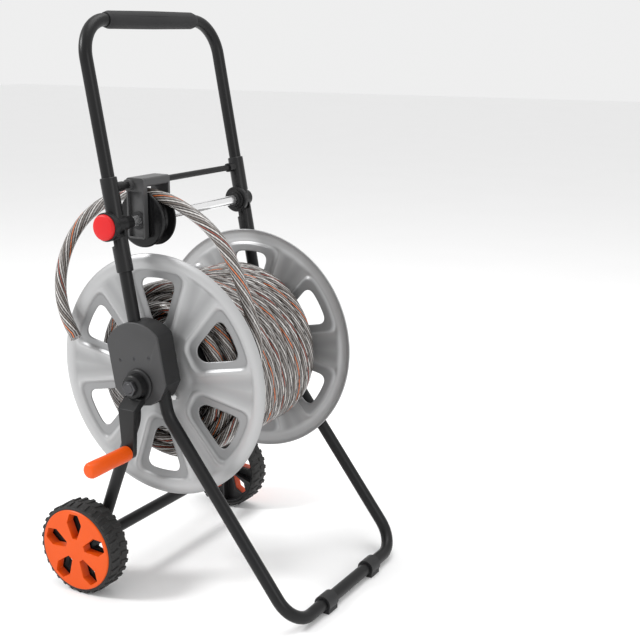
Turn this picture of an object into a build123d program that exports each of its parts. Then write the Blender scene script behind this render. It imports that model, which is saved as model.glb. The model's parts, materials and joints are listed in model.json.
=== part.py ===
"""Garden hose reel cart: folding handle, cranked reel, sliding hose guide, two wheels.

Millimetres. +X is forward, +Y is the water inlet side, +Z is up. The origin is on the floor, under the
middle of the whole cart. Most sizes are given from the middle of the reel axis, through at().
"""

from build123d import *
import os
from math import cos, radians, sin

os.makedirs("parts", exist_ok=True)

# ---- driving dimensions -------------------------------------------------------------------------
reel_x = -42.5  # reel axis, from the middle of the cart's depth
mid_y = 39.0  # middle plane of the frame: the crank sticks out further than the inlet
reel_z = 360.0  # reel axis above the floor

lean = 10.3  # uprights and handle lean back by this many degrees
hinge_h = 245.0  # folding hinge, from the reel axis along the lean
handle_h = 551.0  # top bar of the handle, along the lean
side_y = 170.0  # planes of the side tubes
tube_r = 10.0
tube_wall = 1.5
sleeve_r = 13.0  # knuckle sleeves round the tubes
fit = 0.05  # radial running clearance

flange_r = 195.0
flange_in = 129.5  # inner face of each flange
flange_face = 131.5  # outer face of its flat web
flange_rim = 135.5  # outermost face, on the bowed rim
bolt_circle = 40.0
drum_r = 70.0
hose_r = 9.5
pack_r = 144.5  # outside of the wound hose
pack_half = 117.0
shaft_r = 14.0

house_in, house_seam, house_out = 147.0, 182.0, 185.0
leg_across = 32.0  # legs enter the housings this far from the lean line
leg_bend = -54.0  # and bend outwards here

bar_x, bar_z = 266.0, -346.0  # front floor bar
foot_r = 14.0
foot_y, foot_len = 72.0, 28.0

wheel_x, wheel_z, wheel_r = -110.0, -284.0, 76.0
wheel_in, wheel_out = 184.0, 228.0
axle_r = 6.0

rod_r = 8.0
cross_bar_r = 5.0
cross_bar_up = 56.0  # cross bar above the hinge, along the lean
eye_r = 22.0  # disc of each upper knuckle
slim_eye_r = 13.5  # eye of each lower knuckle
button_r = 19.7

guide_y = -95.0
roller_r, groove_r, roller_half = 44.0, 28.5, 17.0

crank_len = 100.0
grip_end = 310.0
inlet_end = 232.0

slope = radians(lean)


# ---- places and planes --------------------------------------------------------------------------
def at(x, y, z):
    """A point given from the middle of the reel axis."""
    return Vector(reel_x + x, mid_y + y, reel_z + z)


def leaned(across, along, y):
    """A point given in the leaning frame of the uprights."""
    return at(across * cos(slope) - along * sin(slope), y, along * cos(slope) + across * sin(slope))


def face_plane(x, y, z):
    """A plane that faces away from the crank side's middle (-Y), with X to the right and Z up."""
    return Plane(origin=at(x, y, z), x_dir=(1, 0, 0), z_dir=(0, -1, 0))


def lean_plane(y, across=0.0, along=0.0):
    """The same plane, turned with the lean."""
    return Plane(origin=leaned(across, along, y), x_dir=(cos(slope), 0, sin(slope)), z_dir=(0, -1, 0))


mid_plane = Plane(origin=(0, mid_y, 0), x_dir=(1, 0, 0), z_dir=(0, 1, 0))
hinge = leaned(0, hinge_h, 0)
hinge_x, hinge_z = hinge.X - reel_x, hinge.Z - reel_z
up_lean = Vector(-sin(slope), 0, cos(slope))


# ---- shapes that repeat -------------------------------------------------------------------------
def turned(x, z, profile):
    """A solid turned about an axis along Y; the profile is a loop of (y, radius) points."""
    plane = Plane(origin=at(x, 0, z), x_dir=(0, 1, 0), z_dir=(1, 0, 0))
    with BuildPart() as solid:
        with BuildSketch(plane):
            with BuildLine():
                Polyline(*profile, close=True)
            make_face()
        revolve(axis=Axis(plane.origin, (0, 1, 0)))
    return solid.part


def ring(x, z, y_from, y_to, inner, outer):
    """A plain ring, or a disc if inner is 0, about an axis along Y."""
    return turned(x, z, [(y_from, inner), (y_from, outer), (y_to, outer), (y_to, inner)])


def rod(start, end, radius):
    """A straight round bar between two points."""
    run = end - start
    with BuildPart() as solid:
        with BuildSketch(Plane(origin=start, z_dir=run)):
            Circle(radius)
        extrude(amount=run.length)
    return solid.part


def bent_tube(points, radii, outer, wall):
    """A round tube along straight runs joined by tangent arcs; wall 0 makes it solid."""
    with BuildPart() as solid:
        with BuildLine() as path:
            FilletPolyline(*points, radius=radii)
        with BuildSketch(Plane(origin=path.line @ 0, z_dir=path.line % 0)):
            Circle(outer)
            if wall:
                Circle(outer - wall, mode=Mode.SUBTRACT)
        sweep()
    return solid.part


def save(piece, name):
    piece.label = name
    export_step(piece, f"parts/{name}.step")


def save_pair(piece, name):
    """The crank side's piece, and its mirror image on the inlet side."""
    save(piece, f"{name}_right")
    with BuildPart() as other:
        mirror(piece, about=mid_plane)
    save(other.part, f"{name}_left")


# ---- frame: bent tubes --------------------------------------------------------------------------
front_points = [
    leaned(leg_across, 25, -side_y),
    leaned(leg_across, leg_bend, -side_y),
    at(bar_x, -side_y, bar_z),
    at(bar_x, side_y, bar_z),
    leaned(leg_across, leg_bend, side_y),
    leaned(leg_across, 25, side_y),
]
with BuildPart() as front_frame:
    add(bent_tube(front_points, [60, 48, 48, 60], tube_r, tube_wall))
save(front_frame.part, "front_frame")

axle = at(wheel_x, -side_y, wheel_z)
rear_bend = leaned(-leg_across, leg_bend, -side_y)
rear_end = axle + (rear_bend - axle).normalized() * (tube_r - 4)
with BuildPart() as rear_leg:
    add(bent_tube([leaned(-leg_across, 25, -side_y), rear_bend, rear_end], [60], tube_r, tube_wall))
    add(ring(wheel_x, wheel_z, -side_y - 20, -side_y + 20, 0, tube_r + fit), mode=Mode.SUBTRACT)
save_pair(rear_leg.part, "rear_leg")

with BuildPart() as rear_cross_tube:
    add(ring(wheel_x, wheel_z, -176, 176, tube_r - tube_wall, tube_r))
save(rear_cross_tube.part, "rear_cross_tube")

with BuildPart() as tube_plug:
    add(turned(wheel_x, wheel_z, [(-160, axle_r + fit), (-160, 8.45), (-176, 8.45), (-176, tube_r),
                                  (-178, tube_r), (-178, axle_r + fit)]))
save_pair(tube_plug.part, "tube_plug")

with BuildPart() as axle_rod:
    add(ring(wheel_x, wheel_z, -216, 216, 0, axle_r))
    chamfer(axle_rod.edges().filter_by(GeomType.CIRCLE), 1)
save(axle_rod.part, "axle_rod")

with BuildPart() as axle_washer:
    add(ring(wheel_x, wheel_z, -212.4, -214.4, axle_r + 0.02, 11))
save_pair(axle_washer.part, "axle_washer")

# ---- frame: clip feet on the floor bar ----------------------------------------------------------
for side, foot_name in ((-1, "foot_right"), (1, "foot_left")):
    with BuildPart() as foot:
        add(ring(bar_x, bar_z, side * foot_y - foot_len / 2, side * foot_y + foot_len / 2, 0, foot_r))
        with BuildSketch(Plane(origin=at(bar_x, side * foot_y, -reel_z), z_dir=(0, 0, 1))):
            Rectangle(24, foot_len)
        extrude(amount=6)
        add(
            ring(bar_x, bar_z, side * foot_y - foot_len, side * foot_y + foot_len, 0, tube_r + fit),
            mode=Mode.SUBTRACT,
        )
    save(foot.part, foot_name)

# ---- frame: hub housings, built in the leaning frame ---------------------------------------------
half_w, shoulder, crown = 50.0, 71.0, 97.0
screw_along, screw_step = 40.0, 28.0


def housing_outline(inset=0.0):
    """Round-topped plate with clipped lower corners."""
    with BuildSketch() as outline:
        with BuildLine():
            Polyline((-half_w, shoulder), (-half_w, -4), (-34, -26), (-14, -34), (14, -34), (34, -26),
                     (half_w, -4), (half_w, shoulder))
            ThreePointArc((half_w, shoulder), (0, crown), (-half_w, shoulder))
        make_face()
        fillet(outline.vertices().group_by(Axis.Y)[-1], 9)
        if inset:
            offset(amount=-inset, mode=Mode.REPLACE)
    return outline.sketch


def tube_run(across, start, end, radius):
    return rod(leaned(across, start, -side_y), leaned(across, end, -side_y), radius)


with BuildPart() as housing_body:
    with BuildSketch(lean_plane(-house_in)):
        add(housing_outline())
    extrude(amount=house_seam - house_in)
    with BuildSketch(lean_plane(-house_in - 3)):
        add(housing_outline(3))
    extrude(amount=house_seam - house_in - 3, mode=Mode.SUBTRACT)
    with BuildSketch(lean_plane(-house_in - 3)):
        Circle(20)
        with Locations((-screw_step, screw_along), (0, screw_along), (screw_step, screw_along)):
            Circle(4.5)
    extrude(amount=house_seam - house_in - 3)
    add(ring(0, 0, -house_in + 5, -house_out, 0, 17), mode=Mode.SUBTRACT)
    for across in (-leg_across, leg_across):
        add(tube_run(across, leg_bend + 12, 26, tube_r + fit), mode=Mode.SUBTRACT)
    add(tube_run(0, 52, 120, tube_r + fit), mode=Mode.SUBTRACT)
    with BuildSketch(lean_plane(-house_seam)):
        with Locations((-screw_step, screw_along), (0, screw_along), (screw_step, screw_along)):
            Circle(1.5)
    extrude(amount=-12, mode=Mode.SUBTRACT)
save_pair(housing_body.part, "housing_body")

with BuildPart() as housing_cover:
    with BuildSketch(lean_plane(-house_seam)):
        add(housing_outline())
    extrude(amount=house_out - house_seam)
    chamfer(housing_cover.faces().sort_by(Axis.Y)[0].edges(), 1.2)
    with BuildSketch(lean_plane(-house_seam)):
        Circle(15)
        with Locations((-screw_step, screw_along), (0, screw_along), (screw_step, screw_along)):
            Circle(1.6)
    extrude(amount=house_out - house_seam, mode=Mode.SUBTRACT)
    with BuildSketch(lean_plane(-house_out)):
        with Locations((-screw_step, screw_along), (0, screw_along), (screw_step, screw_along)):
            Circle(3.3)
    extrude(amount=-1.6, mode=Mode.SUBTRACT)
save_pair(housing_cover.part, "housing_cover")

with BuildPart() as cover_screws:
    with BuildSketch(lean_plane(-house_out + 1.6)):
        with Locations((-screw_step, screw_along), (0, screw_along), (screw_step, screw_along)):
            Circle(3.2)
    extrude(amount=1.2)
    with BuildSketch(lean_plane(-house_out + 1.6)):
        with Locations((-screw_step, screw_along), (0, screw_along), (screw_step, screw_along)):
            Circle(1.45)
    extrude(amount=-9)
    with BuildSketch(lean_plane(-house_out + 0.4)):
        with Locations((-screw_step, screw_along), (0, screw_along), (screw_step, screw_along)):
            RegularPolygon(1.4, 6)
    extrude(amount=-0.8, mode=Mode.SUBTRACT)
save_pair(cover_screws.part, "cover_screws")

with BuildPart() as hub_bush:
    add(ring(0, 0, -house_in, -house_seam + 0.2, shaft_r + fit, 17))
save_pair(hub_bush.part, "hub_bush")

with BuildPart() as hub_ring:
    add(turned(0, 0, [(-house_out, 15), (-house_out, 25), (-188, 25), (-190, 23), (-190, 15)]))
save(hub_ring.part, "hub_ring_right")

# ---- frame: uprights, lower knuckles, hinge pins and the guide rod --------------------------------
half_lap = 34.0  # behind the hinge, each half of the lap joint is cut back this far
sleeve_end = 72.0


def knuckle_sleeve(way):
    """Sleeve round a side tube, above (way 1) or below (way -1) the hinge, with a blind bore."""
    with BuildPart() as sleeve:
        with BuildSketch(Plane(origin=leaned(0, hinge_h, -side_y), z_dir=up_lean * way)):
            Circle(sleeve_r)
        extrude(amount=sleeve_end)
        chamfer(sleeve.faces().sort_by(Axis.Z)[-1 if way > 0 else 0].edges(), 1)
        with BuildSketch(Plane(origin=leaned(0, hinge_h + way * 40, -side_y), z_dir=up_lean * way)):
            Circle(tube_r + fit)
        extrude(amount=sleeve_end, mode=Mode.SUBTRACT)
    return sleeve.part


def lap_space(y_from, y_to, front_r):
    """The block that the other knuckle's half of the lap joint stands in and swings through."""
    with BuildPart() as block:
        with BuildSketch(lean_plane(y_from, 0, hinge_h)):
            Circle(half_lap)
            with Locations((half_lap, 0)):
                Rectangle(2 * half_lap, 2 * half_lap, mode=Mode.SUBTRACT)
            Circle(front_r)
        extrude(amount=y_from - y_to)
    return block.part


def beside(piece):
    """The same casting on the inlet side: both sides take the same pair of knuckles."""
    return Pos(0, 2 * side_y, 0) * piece


with BuildPart() as upright:
    add(rod(leaned(0, 52, -side_y), leaned(0, hinge_h - 40, -side_y), tube_r))
    add(rod(leaned(0, 50, -side_y), leaned(0, hinge_h - 38, -side_y), tube_r - tube_wall), mode=Mode.SUBTRACT)
save_pair(upright.part, "upright")

boss_end = 139.0
with BuildPart() as lower_half:
    add(knuckle_sleeve(-1))
    add(lap_space(-side_y + 0.3, -side_y - 20, eye_r + 0.4), mode=Mode.SUBTRACT)
    add(ring(hinge_x, hinge_z, -side_y + 0.3, -157, 0, slim_eye_r))
with BuildPart() as lower_knuckle_right:
    add(lower_half.part)
    add(turned(hinge_x, hinge_z, [(-157, 0), (-157, 11.5), (-154, 10.2), (-boss_end, 10.2), (-boss_end, 0)]))
    add(ring(hinge_x, hinge_z, -side_y - 5, -158, 0, 5), mode=Mode.SUBTRACT)
    add(ring(hinge_x, hinge_z, -151, -boss_end + 5, 0, rod_r + fit), mode=Mode.SUBTRACT)
save(lower_knuckle_right.part, "lower_knuckle_right")

with BuildPart() as lower_knuckle_left:
    add(beside(lower_half.part))
    add(ring(hinge_x, hinge_z, side_y - 5, side_y + 20, 0, 5), mode=Mode.SUBTRACT)
save(lower_knuckle_left.part, "lower_knuckle_left")

with BuildPart() as hinge_pin_right:
    add(turned(hinge_x, hinge_z, [(-158, 0), (-158, 5), (-184.1, 5), (-184.1, 8.5), (-187, 8.5),
                                  (-187.6, 7), (-187.6, 0)]))
save(hinge_pin_right.part, "hinge_pin_right")

with BuildPart() as hinge_pin_left:
    add(turned(hinge_x, hinge_z, [(151, 0), (151, 5), (183.1, 5), (183.1, 9.5), (185.5, 9.5), (187, 7), (187, 0)]))
save(hinge_pin_left.part, "hinge_pin_left")

with BuildPart() as guide_rod:
    add(ring(hinge_x, hinge_z, -150.8, 150.8, 0, rod_r))
save(guide_rod.part, "guide_rod")

# ---- frame: water inlet --------------------------------------------------------------------------
with BuildPart() as inlet_connector:
    add(turned(0, 0, [(158, 5), (158, 7.4), (162, 7.9), (house_out, 7.9), (house_out, 24), (190, 24),
                      (193, 21), (193, 17), (201, 16), (201, 11), (207, 11), (207, 8.6), (212, 8.6),
                      (214, 10.6), (219, 10.6), (221, 8.6), (inlet_end - 2, 8.6), (inlet_end, 7.4),
                      (inlet_end, 5)]))
    with BuildSketch(face_plane(0, 201, 0)):
        RegularPolygon(19, 6)
    extrude(amount=8)
    add(ring(0, 0, 150, 240, 0, 5), mode=Mode.SUBTRACT)
    add(ring(0, 0, 165, 169, 6, 9), mode=Mode.SUBTRACT)
save(inlet_connector.part, "inlet_connector")

with BuildPart() as inlet_seal:
    add(turned(0, 0, [(165.4, 6.05), (165.4, 7.6), (166.2, 7.96), (167.8, 7.96), (168.6, 7.6), (168.6, 6.05)]))
save(inlet_seal.part, "inlet_seal")

# ---- reel: flanges -------------------------------------------------------------------------------
opening_count = 6
opening_first = 30.0  # angle of the first opening, degrees up from forward
opening_inner, opening_outer = 83.0, 157.0
opening_inner_half, opening_outer_half = 13.0, 35.0


def flange_opening(grow=0.0):
    """A wedge with rounded corners and a bowed outer edge, lying along +X."""
    outer = opening_outer + grow
    inner = opening_inner - grow * 1.6
    half = opening_outer_half + grow
    with BuildSketch() as window:
        with BuildLine():
            Polyline((outer - 4, half), (inner, opening_inner_half + grow * 0.5),
                     (inner, -opening_inner_half - grow * 0.5), (outer - 4, -half))
            ThreePointArc((outer - 4, -half), (outer, 0), (outer - 4, half))
        make_face()
        fillet(window.vertices().group_by(Axis.X)[-1], 12 + grow * 0.5)
        fillet(window.vertices().group_by(Axis.X)[0], 9 + grow * 0.5)
    return window.sketch


with BuildPart() as flange:
    add(turned(0, 0, [
        (-134, shaft_r + fit), (-134, 54), (-flange_face, 66), (-flange_face, 160), (-132.5, 166),
        (-134.2, 176), (-flange_rim, 184), (-flange_rim, 190), (-134, 194), (-flange_face, flange_r),
        (-129, 194), (-129, 192.4), (-flange_face, 192.6), (-133.2, 189), (-133.4, 184), (-132.2, 176),
        (-130.5, 166), (-flange_in, 160), (-flange_in, 66), (-132, 54), (-132, shaft_r + fit)]))
    for i in range(opening_count):
        turn = Rotation(0, 0, opening_first + i * 360 / opening_count)
        with BuildSketch(face_plane(0, -flange_in + 5, 0)):
            with Locations(turn):
                add(flange_opening())
        extrude(amount=20, mode=Mode.SUBTRACT)
        with BuildSketch(face_plane(0, -flange_face, 0)):
            with Locations(turn):
                add(flange_opening(16))
                add(flange_opening(11), mode=Mode.SUBTRACT)
        extrude(amount=2.5)
    with BuildSketch(face_plane(0, -flange_in + 5, 0)):
        with PolarLocations(bolt_circle, 4, start_angle=45):
            Circle(3.1)
    extrude(amount=20, mode=Mode.SUBTRACT)
save_pair(flange.part, "flange")

# ---- reel: drum, tie bolts, shafts and water path -------------------------------------------------
outlet_y = -98.0  # near the crank-side flange, where the first layer of hose starts
with BuildPart() as drum:
    add(ring(0, 0, -flange_in, flange_in, drum_r - 3, drum_r))
    for y_from, y_to in ((-flange_in, -flange_in + 4), (flange_in - 4, flange_in)):
        add(ring(0, 0, y_from, y_to, 24, drum_r - 1))
    add(rod(at(drum_r - 10, outlet_y, 0), at(drum_r + 10, outlet_y, 0), 7.3), mode=Mode.SUBTRACT)
    with BuildSketch(face_plane(0, flange_in + 2, 0)):
        with PolarLocations(bolt_circle, 4, start_angle=45):
            Circle(3.1)
    extrude(amount=2 * flange_in + 4, mode=Mode.SUBTRACT)
save(drum.part, "drum")

with BuildPart() as tie_bolts:
    with BuildSketch(face_plane(0, 134, 0)):
        with PolarLocations(bolt_circle, 4, start_angle=45):
            Circle(3)
    extrude(amount=268)
    for y in (138, -134):
        with BuildSketch(face_plane(0, y, 0)):
            with PolarLocations(bolt_circle, 4, start_angle=45):
                RegularPolygon(6, 6)
        extrude(amount=4)
save(tie_bolts.part, "tie_bolts")

with BuildPart() as crank_shaft:
    add(turned(0, 0, [(-100, 0), (-100, 16), (-119.5, 16), (-119.5, 23.8), (-132, 23.8),
                      (-132, shaft_r), (-190.6, shaft_r), (-190.6, 8), (-212, 8), (-213, 7), (-213, 0)]))
save(crank_shaft.part, "crank_shaft")

with BuildPart() as inlet_shaft:
    add(turned(0, 0, [(100, 0), (100, 16), (119.5, 16), (119.5, 23.8), (132, 23.8), (132, shaft_r),
                      (184.5, shaft_r), (184.5, 8), (112, 8), (112, 0)]))
    add(rod(at(0, 106, 0), at(0, 120, 0), 5), mode=Mode.SUBTRACT)
    add(rod(at(0, 90, 0), at(0, 106, 0), 7.05), mode=Mode.SUBTRACT)
save(inlet_shaft.part, "inlet_shaft")

with BuildPart() as outlet_elbow:
    add(bent_tube([at(0, 105.9, 0), at(0, 72, 0), at(44, 72, 0), at(44, outlet_y, 0), at(drum_r - 0.4, outlet_y, 0)],
                  [12, 11, 11], 7, 2))
save(outlet_elbow.part, "outlet_elbow")

# ---- reel: crank ---------------------------------------------------------------------------------
arm_face, arm_back = 220.0, 211.0
with BuildPart() as crank_arm:
    with BuildSketch(Plane(origin=at(0, 0, 0), x_dir=(0, 1, 0), z_dir=(1, 0, 0))):
        with BuildLine():
            Polyline((-204, 20), (-204, -19), (-arm_face, -31), (-arm_face, -crank_len - 12),
                     (-arm_back, -crank_len - 12), (-arm_back, -38), (-193, -25), (-193, 20), close=True)
        make_face()
    extrude(amount=20, both=True)
    with BuildSketch(face_plane(0, -185, 0)):
        with BuildLine():
            Polyline((11, -crank_len), (16.5, -17), (-16.5, -17), (-11, -crank_len))
            ThreePointArc((-11, -crank_len), (0, -crank_len - 11), (11, -crank_len))
        make_face()
    extrude(amount=50, mode=Mode.INTERSECT)
    fillet(crank_arm.faces().sort_by(Axis.Y)[0].edges(), 1.5)
    add(turned(0, 0, [(-190.8, 8.02), (-190.8, 19), (-204, 19), (-206, 17), (-206, 8.02)]))
    add(ring(0, 0, -180, -230, 0, 8.02), mode=Mode.SUBTRACT)
    add(ring(0, -crank_len, -200, -230, 0, 5), mode=Mode.SUBTRACT)
save(crank_arm.part, "crank_arm")

with BuildPart() as crank_nut:
    with BuildSketch(face_plane(0, -206, 0)):
        RegularPolygon(12.5, 6)
    extrude(amount=6)
    add(ring(0, 0, -200, -220, 0, 8.02), mode=Mode.SUBTRACT)
save(crank_nut.part, "crank_nut")

with BuildPart() as crank_pin:
    add(turned(0, -crank_len, [(-208, 0), (-208, 7), (-211, 7), (-211, 5), (-303, 5), (-303, 0)]))
save(crank_pin.part, "crank_pin")

with BuildPart() as crank_grip:
    add(turned(0, -crank_len, [(-arm_face - 0.8, 5 + fit), (-arm_face - 0.8, 11.5), (-224, 12.3), (-236, 12.3),
                               (-262, 12), (-290, 12.6), (-304, 12.6), (-308, 11), (-grip_end, 8),
                               (-grip_end, 0), (-304, 0), (-304, 5 + fit)]))
save(crank_grip.part, "crank_grip")

# ---- reel: wound hose, and the free end that runs over the guide -----------------------------------
with BuildPart() as hose_pack:
    add(turned(0, 0, [(-pack_half, drum_r + 0.2), (-pack_half, pack_r - 6), (-pack_half + 6, pack_r),
                      (pack_half - 6, pack_r), (pack_half, pack_r - 6), (pack_half, drum_r + 0.2)]))
save(hose_pack.part, "hose_pack")

hose_route = [
    (155, -105, -10), (161.5, -104.5, 32), (162.5, -104, 72), (153, -103, 108), (139, -101.5, 143),
    (124.5, -99.5, 174), (105, -97.5, 206), (77, -96, 234), (42, -95, 256), (2, -95, 273.5),
    (-38, -95, 280.5), (-80, -95.5, 279.5), (-119, -96.5, 266), (-152, -99, 246), (-177, -104.5, 221),
    (-193.5, -113.5, 190), (-198.5, -126, 157), (-193.5, -139, 124), (-180.5, -149.5, 94),
    (-164.5, -155.5, 70), (-148.3, -157.5, 47.5),
]
route = [at(*point) for point in hose_route]
bend_radii = []
for before, here, after in zip(route, route[1:], route[2:]):
    half_turn = radians((here - before).get_angle(after - here)) / 2
    shorter = min((here - before).length, (after - here).length)
    bend_radii.append(0.45 * shorter * cos(half_turn) / sin(half_turn))
print("hose bend radii", [round(r) for r in bend_radii])
with BuildPart() as hose_free:
    add(bent_tube(route, bend_radii, hose_r, 0))
save(hose_free.part, "hose_free")

# ---- handle ---------------------------------------------------------------------------------------
handle_points = [
    leaned(0, hinge_h + 40, -side_y),
    leaned(0, handle_h, -side_y),
    leaned(0, handle_h, side_y),
    leaned(0, hinge_h + 40, side_y),
]
with BuildPart() as handle_tube:
    add(bent_tube(handle_points, [57, 57], tube_r, tube_wall))
save(handle_tube.part, "handle_tube")

top = leaned(0, handle_h, 0)
grip_half = 112.0
with BuildPart() as handle_grip:
    add(turned(top.X - reel_x, top.Z - reel_z, [
        (-grip_half, tube_r + fit), (-grip_half, 11.5), (-grip_half + 8, 13.6), (0, 14.2),
        (grip_half - 8, 13.6), (grip_half, 11.5), (grip_half, tube_r + fit)]))
save(handle_grip.part, "handle_grip")

cross = leaned(0, hinge_h + cross_bar_up, 0)
cross_x, cross_z = cross.X - reel_x, cross.Z - reel_z
with BuildPart() as upper_half:
    add(knuckle_sleeve(1))
    add(lap_space(-side_y + 20, -side_y, slim_eye_r + 4.7), mode=Mode.SUBTRACT)
    add(rod(leaned(0, hinge_h + 40, -side_y), leaned(0, hinge_h + 90, -side_y), tube_r + fit), mode=Mode.SUBTRACT)
with BuildPart() as upper_knuckle_right:
    add(upper_half.part)
    add(turned(hinge_x, hinge_z, [(-side_y, 0), (-side_y, 15), (-181, 16), (-188.5, eye_r), (-196.5, eye_r),
                                  (-198, eye_r - 1.2), (-198, 0)]))
    add(ring(hinge_x, hinge_z, -160, -190, 0, 5 + fit), mode=Mode.SUBTRACT)
    add(ring(hinge_x, hinge_z, -184, -191, 0, 13.4), mode=Mode.SUBTRACT)
    add(ring(hinge_x, hinge_z, -189.8, -199, 0, button_r + 0.3), mode=Mode.SUBTRACT)
    add(ring(cross_x, cross_z, -160, -142, 0, 7.5))
    add(ring(cross_x, cross_z, -154, -140, 0, cross_bar_r + fit), mode=Mode.SUBTRACT)
save(upper_knuckle_right.part, "upper_knuckle_right")

with BuildPart() as upper_knuckle_left:
    add(beside(upper_half.part))
    add(turned(hinge_x, hinge_z, [(side_y, 0), (side_y, 15), (160, 16), (156.5, eye_r), (150.5, eye_r),
                                  (149, eye_r - 1.2), (149, 17), (145.5, 17), (145.5, 13), (141.5, 12), (141.5, 0)]))
    add(ring(hinge_x, hinge_z, 140, 151.2, 0, rod_r + fit), mode=Mode.SUBTRACT)
    add(ring(hinge_x, hinge_z, 150, side_y + 1, 0, 5 + fit), mode=Mode.SUBTRACT)
    add(ring(cross_x, cross_z, 160, 142, 0, 7.5))
    add(ring(cross_x, cross_z, 154, 140, 0, cross_bar_r + fit), mode=Mode.SUBTRACT)
save(upper_knuckle_left.part, "upper_knuckle_left")

with BuildPart() as cross_bar:
    add(ring(cross_x, cross_z, -153.8, 153.8, 0, cross_bar_r))
save(cross_bar.part, "cross_bar")

with BuildPart() as release_button:
    add(turned(hinge_x, hinge_z, [(-194, 14.5), (-194, button_r), (-201.5, button_r), (-203.4, button_r - 2.2),
                                  (-204, 10), (-204, 0), (-200, 0), (-200, 14.5)]))
save(release_button.part, "release_button")

with BuildPart() as button_spring:
    with BuildLine() as coil:
        Helix(pitch=3.2, height=13.6, radius=12.2, center=at(hinge_x, -185.2, hinge_z), direction=(0, -1, 0))
    with BuildSketch(Plane(origin=coil.line @ 0, z_dir=coil.line % 0)):
        Circle(0.8)
    sweep(is_frenet=True)
save(button_spring.part, "button_spring")

# ---- hose guide ------------------------------------------------------------------------------------
with BuildPart() as guide_sleeve:
    add(turned(hinge_x, hinge_z, [
        (guide_y - 23, rod_r + 0.06), (guide_y - 23, 11), (guide_y + 40, 11), (guide_y + 40, rod_r + 0.06)]))
    add(ring(hinge_x, hinge_z, guide_y - 25, guide_y - 23, rod_r + 0.06, 14))
    add(ring(hinge_x, hinge_z, guide_y + 40, guide_y + 42, rod_r + 0.06, 14))
save(guide_sleeve.part, "guide_sleeve")

with BuildPart() as guide_roller:
    add(turned(hinge_x, hinge_z, [
        (guide_y - roller_half, 11 + fit), (guide_y - roller_half, roller_r - 2),
        (guide_y - roller_half + 1.5, roller_r), (guide_y - roller_half + 4, roller_r),
        (guide_y - 11, groove_r + 3), (guide_y - 8, groove_r), (guide_y + 8, groove_r),
        (guide_y + 11, groove_r + 3), (guide_y + roller_half - 4, roller_r),
        (guide_y + roller_half - 1.5, roller_r), (guide_y + roller_half, roller_r - 2),
        (guide_y + roller_half, 11 + fit)]))
save(guide_roller.part, "guide_roller")

plate_half = 17.0
plate_low, plate_high = -28.0, 66.0  # below and above the guide rod
near_plate, far_plate = guide_y - 29.0, guide_y + 32.0
plate_t, channel_depth = 3.0, 9.0


def bracket_side(y, thick):
    """One cheek of the guide bracket: an upright plate from below the rod to above the cross bar."""
    with BuildPart() as cheek:
        with BuildSketch(face_plane(hinge_x, y, hinge_z)) as outline:
            with Locations((0, (plate_low + plate_high) / 2)):
                Rectangle(2 * plate_half, plate_high - plate_low)
            fillet(outline.vertices(), 5)
        extrude(amount=-thick)
    return cheek.part


with BuildPart() as guide_bracket:
    add(bracket_side(near_plate, channel_depth))
    with BuildSketch(face_plane(hinge_x, near_plate, hinge_z)):
        with Locations((0, 10)):
            Rectangle(2 * (plate_half - plate_t), 70)
    extrude(amount=-(channel_depth - plate_t), mode=Mode.SUBTRACT)
    add(bracket_side(far_plate, plate_t + 2))
    with BuildSketch(face_plane(hinge_x, near_plate + channel_depth - plate_t, hinge_z)):
        with Locations((0, 59)):
            RectangleRounded(2 * plate_half, 14, 4)
    extrude(amount=-(far_plate - near_plate - channel_depth + 2 * plate_t))
    add(ring(hinge_x, hinge_z, near_plate - 2, far_plate + 12, 0, 11 + fit), mode=Mode.SUBTRACT)
    add(ring(cross_x, cross_z, near_plate - 6, near_plate + channel_depth, cross_bar_r, 9))
    add(ring(cross_x, cross_z, far_plate, far_plate + 12, cross_bar_r, 9))
    add(ring(cross_x, cross_z, near_plate - 10, far_plate + 14, 0, cross_bar_r + 0.3), mode=Mode.SUBTRACT)
save(guide_bracket.part, "guide_bracket")

# ---- wheels ----------------------------------------------------------------------------------------
window_count = 5
cover_r = 67.4


def wheel_window(grow=0.0):
    """Six-sided window of the wheel cover, lying along +X, widest beyond its middle."""
    with BuildSketch() as window:
        with BuildLine():
            Polyline((19 - grow, 4.5 + grow * 0.6), (45, 15 + grow), (61 + grow, 8.5 + grow * 0.7),
                     (61 + grow, -8.5 - grow * 0.7), (45, -15 - grow), (19 - grow, -4.5 - grow * 0.6), close=True)
        make_face()
        fillet(window.vertices(), 2)
    return window.sketch


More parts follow.
